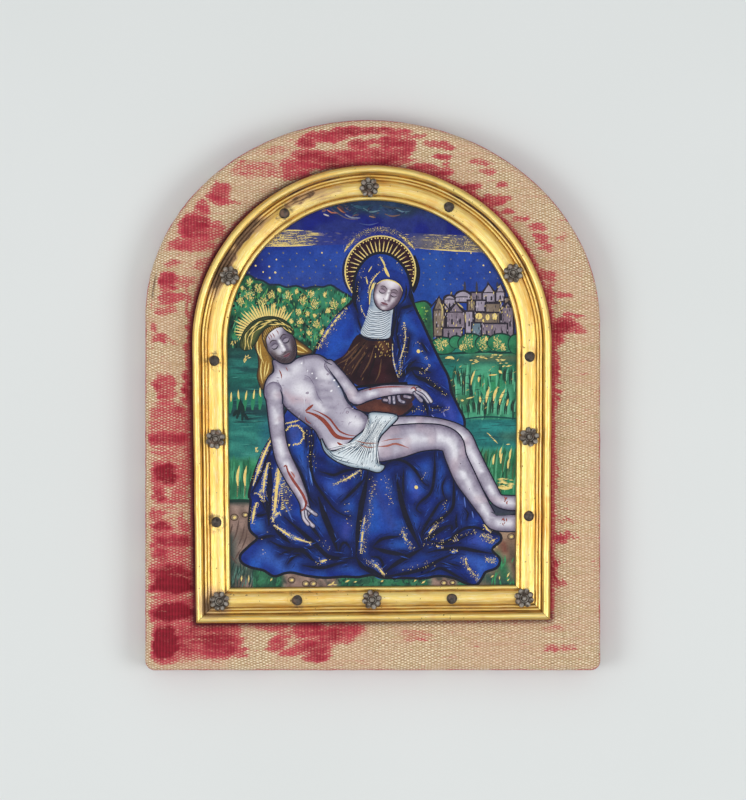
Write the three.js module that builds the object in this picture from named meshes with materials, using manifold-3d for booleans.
// An arched enamel plaque in a gilt moulding, pinned to a velvet-covered board.
// Millimetres. It lies on its back: +X is the picture's right, +Y its top and +Z its front.
// The origin is the middle of the underside.
import * as THREE from 'three';
import { mergeVertices } from 'three/addons/utils/BufferGeometryUtils.js';
import Module from 'manifold-3d';

const GAP = 0.3; // air between neighbouring pieces

// The velvet-covered board, outside the cloth
const BOARD_WIDTH = 126;
const BOARD_HEIGHT = 152.4;
const BOARD_DEPTH = 10;
const ARCH_RISE = 55.6; // height of the round top above its spring line
const ARCH_LEAN = 1.1; // the crown sits this far left of the middle
const BOARD_CORNER = 2.6; // radius of the two lower corners
const BOARD_EASE = 1.6; // rounding of the cloth over the board's edges
const CLOTH = 1; // thickness of the velvet
const TURN_IN = 12; // width of the cloth turned over onto the back

// The sight, which is the opening of the moulding; its sides draw in towards the foot
const SIGHT_CENTRE_X = -0.2;
const SIGHT_HALF = 39.9;
const SIGHT_RISE = 39.5;
const SIGHT_SPRING_Y = 14.2;
const SIGHT_FOOT_LEFT = new THREE.Vector2(-39.2, -53.1);
const SIGHT_FOOT_RIGHT = new THREE.Vector2(39.3, -52.3);

// The moulding's section: distances out from the sight, and heights over its underside
const RAIL = 9.6;
const RAIL_EASE = 0.3; // rounding of the outer lower edge
const OUTER_BEAD = { from: 7.5, to: RAIL, foot: 3.1, top: 4.5, steps: 7 };
const OUTER_GROOVE = { from: 7.1, to: 7.5, height: 2.8 };
const FILLET = { from: 5.5, to: 7.1, foot: 3, top: 3.4, steps: 4 };
const BAND = { from: 1.6, to: 5.3, foot: 3, top: 3.35, steps: 4 };
const INNER_GROOVE = { from: 1.3, to: 1.6, height: 2.6 };
const SIGHT_BEAD = { from: 0, to: 1.3, foot: 2.6, top: 3.2, steps: 5 };
const REBATE_DEPTH = 2.1; // from the underside up to the lip that holds the plate
const PLATE_MARGIN = 2.6; // of the plate under that lip

const PLATE_THICKNESS = 1.6;
const PLATE_DOME = 1; // rise of the plate's middle
const PLATE_EASE = 0.3;
const DOME_RINGS = 4;

// Pins through the moulding's band, by angle round the arch, height on a side, or place on the sill
const PIN_LINE = 3.6; // out from the sight
const SHANK_RADIUS = 0.5;
const SHANK_LENGTH = 10;
const ROSETTE_PLACES = [
  { angle: 26.7 }, { angle: 91 }, { angle: 154.4 },
  { side: 1, y: -11.5 }, { side: -1, y: -12.1 },
  { x: -42.2 }, { x: -0.2 }, { x: 41.7 },
];
const ROUND_PIN_PLACES = [
  { angle: 60.8 }, { angle: 123.7 },
  { side: 1, y: 10.6 }, { side: -1, y: 9.5 }, { side: 1, y: -33.3 }, { side: -1, y: -35 },
  { x: -20.8 }, { x: 21.8 },
];
const PETALS = 8;

const ARCH_STEPS = 32;
const CORNER_STEPS = 3;
const HOLE_SIDES = 8;
const PIN_SIDES = 8;

const FRONT = BOARD_DEPTH + GAP; // what the moulding and the plate lie on
const PIN_SEAT = FRONT + FILLET.top + GAP;
const HOLE_RADIUS = SHANK_RADIUS + GAP + 0.1; // wide enough between the hole's corners too
const HOLE_FLOOR = PIN_SEAT - SHANK_LENGTH - GAP;

const wasm = await Module();
wasm.setup();

const material = (color, roughness, metalness) =>
  new THREE.MeshStandardMaterial({ color, roughness, metalness, flatShading: true });
const WOOD = material(0x7a5636, 0.8, 0);
const VELVET = material(0xb9836c, 0.95, 0);
const ENAMEL = material(0x24439a, 0.2, 0);
const GILT = material(0xe3b64a, 0.3, 1);
const BRONZE = material(0x43382e, 0.5, 0.9);

// A closed solid through loops of equal count; end caps come from the given triangles
function loft(loops, startCap, endCap) {
  const count = loops[0].length;
  const positions = loops.flat().flatMap((p) => [p.x, p.y, p.z]);
  const index = [];
  for (let ring = 0; ring + 1 < loops.length; ring++) {
    for (let i = 0; i < count; i++) {
      const a = ring * count + i;
      const b = ring * count + ((i + 1) % count);
      index.push(a, b, b + count, a, b + count, a + count);
    }
  }
  const last = (loops.length - 1) * count;
  for (const [a, b, c] of startCap) index.push(a, c, b);
  for (const [a, b, c] of endCap) index.push(last + a, last + b, last + c);
  return facingOut(positions, index);
}

function facingOut(positions, index) {
  const corner = (i) => new THREE.Vector3().fromArray(positions, 3 * index[i]);
  let volume = 0;
  for (let i = 0; i < index.length; i += 3) {
    volume += corner(i).dot(corner(i + 1).cross(corner(i + 2)));
  }
  if (volume < 0) index.reverse();
  const geometry = new THREE.BufferGeometry();
  geometry.setAttribute('position', new THREE.Float32BufferAttribute(positions, 3));
  geometry.setIndex(index);
  return geometry;
}

// Triangles that fill a convex loop of this many points
const fan = (count) => Array.from({ length: count - 2 }, (_, i) => [0, i + 1, i + 2]);

const arc = (steps, place) => Array.from({ length: steps + 1 }, (_, i) => place(i / steps));

// The board's outline, drawn in by an inset, at a height
function boardLoop(inset, z) {
  const half = BOARD_WIDTH / 2 - inset;
  const bottom = -BOARD_HEIGHT / 2 + inset;
  const springY = BOARD_HEIGHT / 2 - ARCH_RISE;
  const rise = ARCH_RISE - inset;
  const radius = Math.max(BOARD_CORNER - inset, 0.2);
  const top = arc(ARCH_STEPS, (t) => new THREE.Vector3(
    half * Math.cos(Math.PI * t) - ARCH_LEAN * Math.sin(Math.PI * t),
    springY + rise * Math.sin(Math.PI * t),
    z,
  ));
  const corner = (side, from) => arc(CORNER_STEPS, (t) => {
    const angle = from + (t * Math.PI) / 2;
    return new THREE.Vector3(
      side * (half - radius) + radius * Math.cos(angle),
      bottom + radius + radius * Math.sin(angle),
      z,
    );
  });
  return [...top, ...corner(-1, Math.PI), ...corner(1, 1.5 * Math.PI)];
}

// Places along the sight with the way out from it: right spring, arch, left spring, both feet
function sightStations() {
  const arch = arc(ARCH_STEPS, (t) => {
    const angle = Math.PI * t;
    const point = new THREE.Vector2(
      SIGHT_CENTRE_X + SIGHT_HALF * Math.cos(angle),
      SIGHT_SPRING_Y + SIGHT_RISE * Math.sin(angle),
    );
    const out = new THREE.Vector2(SIGHT_RISE * Math.cos(angle), SIGHT_HALF * Math.sin(angle));
    return { point, out: out.normalize() };
  });
  const outward = (a, b) => new THREE.Vector2(b.y - a.y, a.x - b.x).normalize();
  const left = outward(arch[ARCH_STEPS].point, SIGHT_FOOT_LEFT);
  const below = outward(SIGHT_FOOT_LEFT, SIGHT_FOOT_RIGHT);
  const right = outward(SIGHT_FOOT_RIGHT, arch[0].point);
  const mitre = (a, b) => a.clone().add(b).divideScalar(1 + a.dot(b));
  return [
    ...arch,
    { point: SIGHT_FOOT_LEFT, out: mitre(left, below) },
    { point: SIGHT_FOOT_RIGHT, out: mitre(below, right) },
  ];
}

const STATIONS = sightStations();

const offset = ({ point, out }, distance, z) =>
  new THREE.Vector3(point.x + out.x * distance, point.y + out.y * distance, z);

const sightLoop = (distance, z) => STATIONS.map((station) => offset(station, distance, z));

// Half an ellipse over a strip of the section, from its outer side to its inner side
const hump = ({ from, to, foot, top, steps }) => arc(steps, (t) => new THREE.Vector2(
  (from + to) / 2 + ((to - from) / 2) * Math.cos(Math.PI * t),
  foot + (top - foot) * Math.sin(Math.PI * t),
));

function railSection() {
  const rebate = PLATE_MARGIN + GAP;
  return [
    new THREE.Vector2(rebate, 0),
    new THREE.Vector2(RAIL - RAIL_EASE, 0),
    new THREE.Vector2(RAIL, RAIL_EASE),
    ...hump(OUTER_BEAD),
    new THREE.Vector2(OUTER_GROOVE.to, OUTER_GROOVE.height),
    new THREE.Vector2(OUTER_GROOVE.from, OUTER_GROOVE.height),
    ...hump(FILLET),
    ...hump(BAND),
    new THREE.Vector2(INNER_GROOVE.to, INNER_GROOVE.height),
    ...hump(SIGHT_BEAD),
    new THREE.Vector2(0, REBATE_DEPTH),
    new THREE.Vector2(rebate, REBATE_DEPTH),
  ];
}

function moulding(stations) {
  const section = railSection();
  const cap = THREE.ShapeUtils.triangulateShape(section, []);
  const loops = stations.map((station) => section.map((p) => offset(station, p.x, FRONT + p.y)));
  return loft(loops, cap, cap);
}

function frameArch() {
  const [left, right] = STATIONS.slice(-2);
  return moulding([right, ...STATIONS.slice(0, -2), left]);
}

// The sill is a touch short of the mitres at both ends
function frameSill() {
  const [left, right] = STATIONS.slice(-2);
  const along = right.point.clone().sub(left.point).setLength(GAP * Math.SQRT2);
  return moulding([
    { point: left.point.clone().add(along), out: left.out },
    { point: right.point.clone().sub(along), out: right.out },
  ]);
}

// Cloth over the front and edges, turned in over the board's back
function velvetCover() {
  const inner = CLOTH + BOARD_EASE - GAP * 2; // where the cloth's inside starts to round
  const shoulder = BOARD_EASE / 4;
  const loops = [
    boardLoop(inner, BOARD_DEPTH - CLOTH),
    boardLoop(CLOTH, BOARD_DEPTH - inner),
    boardLoop(CLOTH, CLOTH),
    boardLoop(TURN_IN, CLOTH),
    boardLoop(TURN_IN, 0),
    boardLoop(BOARD_EASE, 0),
    boardLoop(shoulder, shoulder),
    boardLoop(0, BOARD_EASE),
    boardLoop(0, BOARD_DEPTH - BOARD_EASE),
    boardLoop(shoulder, BOARD_DEPTH - shoulder),
    boardLoop(BOARD_EASE, BOARD_DEPTH),
  ];
  return loft(loops, fan(loops[0].length), fan(loops[0].length));
}

// The board is rebated at the back, so that the turned-in cloth lies flush
function backingBoard() {
  const inset = CLOTH + GAP;
  const ease = BOARD_EASE - GAP * 2;
  const loops = [
    boardLoop(TURN_IN + GAP, 0),
    boardLoop(TURN_IN + GAP, inset),
    boardLoop(inset, inset),
    boardLoop(inset, BOARD_DEPTH - inset - ease),
    boardLoop(inset + ease, BOARD_DEPTH - inset),
  ];
  return loft(loops, fan(loops[0].length), fan(loops[0].length));
}

// A domed sheet of even thickness
function enamelPlate() {
  const centre = new THREE.Vector3(SIGHT_CENTRE_X, 0, 0);
  const domed = (distance, z, ring) => {
    const share = ring / DOME_RINGS;
    return sightLoop(distance, 0).map((p) => {
      const q = p.lerp(centre, share * 0.98);
      return q.setZ(z + PLATE_DOME * (1 - (1 - share) ** 2));
    });
  };
  const rings = arc(DOME_RINGS, (t) => Math.round(t * DOME_RINGS));
  const back = rings.map((ring) => domed(PLATE_MARGIN - PLATE_EASE, FRONT, ring)).reverse();
  const top = FRONT + PLATE_THICKNESS;
  const front = rings.map((ring) => domed(PLATE_MARGIN - PLATE_EASE, top, ring));
  const edge = [
    sightLoop(PLATE_MARGIN, FRONT + PLATE_EASE),
    sightLoop(PLATE_MARGIN, top - PLATE_EASE),
  ];
  return loft([...back, ...edge, ...front], fan(STATIONS.length), fan(STATIONS.length));
}

// A round body of rings; petals draw each ring in, and dip it, between their crests
function turned(rings, sides, petals = 0) {
  const loops = rings.map(({ r, z, draw = 0, dip = 0 }) => arc(sides - 1, (t) => {
    const angle = (2 * Math.PI * t * (sides - 1)) / sides;
    const between = petals ? (1 - Math.cos(petals * angle)) / 2 : 0;
    const radius = r - draw * between;
    return new THREE.Vector3(radius * Math.cos(angle), radius * Math.sin(angle), z - dip * between);
  }));
  return loft(loops, fan(sides), fan(sides));
}

const SHANK = [{ r: SHANK_RADIUS * 0.5, z: -SHANK_LENGTH }, { r: SHANK_RADIUS, z: -SHANK_LENGTH + 1 },
  { r: SHANK_RADIUS, z: 0 }];

const rosettePin = () => turned([
  ...SHANK,
  { r: 2.5, z: 0, draw: 0.4 },
  { r: 2.75, z: 0.45, draw: 0.55, dip: 0.1 },
  { r: 2.1, z: 1.15, draw: 0.2, dip: 0.5 },
  { r: 1.15, z: 0.75 },
  { r: 0.85, z: 1.3 },
  { r: 0.4, z: 1.6 },
], 2 * PETALS, PETALS);

const roundPin = () => turned([
  ...SHANK,
  { r: 1.45, z: 0 },
  { r: 1.35, z: 0.5 },
  { r: 0.8, z: 1 },
  { r: 0.3, z: 1.2 },
], PIN_SIDES);

// Where a pin stands: on the line PIN_LINE out from the sight
function pinPlace({ angle, side, x, y }) {
  if (angle !== undefined) {
    const turn = THREE.MathUtils.degToRad(angle);
    return new THREE.Vector2(
      SIGHT_CENTRE_X + (SIGHT_HALF + PIN_LINE) * Math.cos(turn),
      SIGHT_SPRING_Y + (SIGHT_RISE + PIN_LINE) * Math.sin(turn),
    );
  }
  const [foot, other, share] = side === undefined
    ? [SIGHT_FOOT_LEFT, SIGHT_FOOT_RIGHT,
      (x - SIGHT_FOOT_LEFT.x) / (SIGHT_FOOT_RIGHT.x - SIGHT_FOOT_LEFT.x)]
    : [side > 0 ? SIGHT_FOOT_RIGHT : SIGHT_FOOT_LEFT,
      new THREE.Vector2(SIGHT_CENTRE_X + side * SIGHT_HALF, SIGHT_SPRING_Y),
      (y - SIGHT_FOOT_LEFT.y) / (SIGHT_SPRING_Y - SIGHT_FOOT_LEFT.y)];
  const place = foot.clone().lerp(other, share);
  return side === undefined
    ? new THREE.Vector2(x, place.y - PIN_LINE)
    : new THREE.Vector2(place.x + side * PIN_LINE, y);
}

const ROSETTE_SPOTS = ROSETTE_PLACES.map(pinPlace);
const ROUND_PIN_SPOTS = ROUND_PIN_PLACES.map(pinPlace);

function toSolid(geometry) {
  return new wasm.Manifold(new wasm.Mesh({
    numProp: 3,
    vertProperties: new Float32Array(geometry.attributes.position.array),
    triVerts: new Uint32Array(geometry.index.array),
  }));
}

// Cuts the pins' holes from a floor height upwards
function drilled(geometry, floor) {
  let solid = toSolid(geometry);
  for (const spot of [...ROSETTE_SPOTS, ...ROUND_PIN_SPOTS]) {
    const depth = PIN_SEAT + OUTER_BEAD.top - floor;
    const drill = new THREE.CylinderGeometry(HOLE_RADIUS, HOLE_RADIUS, depth, HOLE_SIDES);
    drill.rotateX(Math.PI / 2).translate(spot.x, spot.y, floor + depth / 2);
    drill.deleteAttribute('normal');
    drill.deleteAttribute('uv');
    solid = solid.subtract(toSolid(mergeVertices(drill)));
  }
  const { vertProperties, triVerts } = solid.getMesh();
  const result = new THREE.BufferGeometry();
  result.setAttribute('position', new THREE.BufferAttribute(vertProperties, 3));
  result.setIndex(new THREE.BufferAttribute(triVerts, 1));
  return result;
}

const plaque = new THREE.Group();

function add(name, geometry, finish) {
  geometry.computeVertexNormals();
  const mesh = new THREE.Mesh(geometry, finish);
  mesh.name = name;
  plaque.add(mesh);
  return mesh;
}

add('backing_board', drilled(backingBoard(), HOLE_FLOOR), WOOD);
add('velvet_cover', drilled(velvetCover(), HOLE_FLOOR), VELVET);
add('enamel_plate', enamelPlate(), ENAMEL);
add('frame_arch', drilled(frameArch(), HOLE_FLOOR), GILT);
add('frame_sill', drilled(frameSill(), HOLE_FLOOR), GILT);
ROSETTE_SPOTS.forEach((spot, i) => {
  add(`rosette_pin_${i + 1}`, rosettePin(), BRONZE).position.set(spot.x, spot.y, PIN_SEAT);
});
ROUND_PIN_SPOTS.forEach((spot, i) => {
  add(`round_pin_${i + 1}`, roundPin(), BRONZE).position.set(spot.x, spot.y, PIN_SEAT);
});

export default plaque;
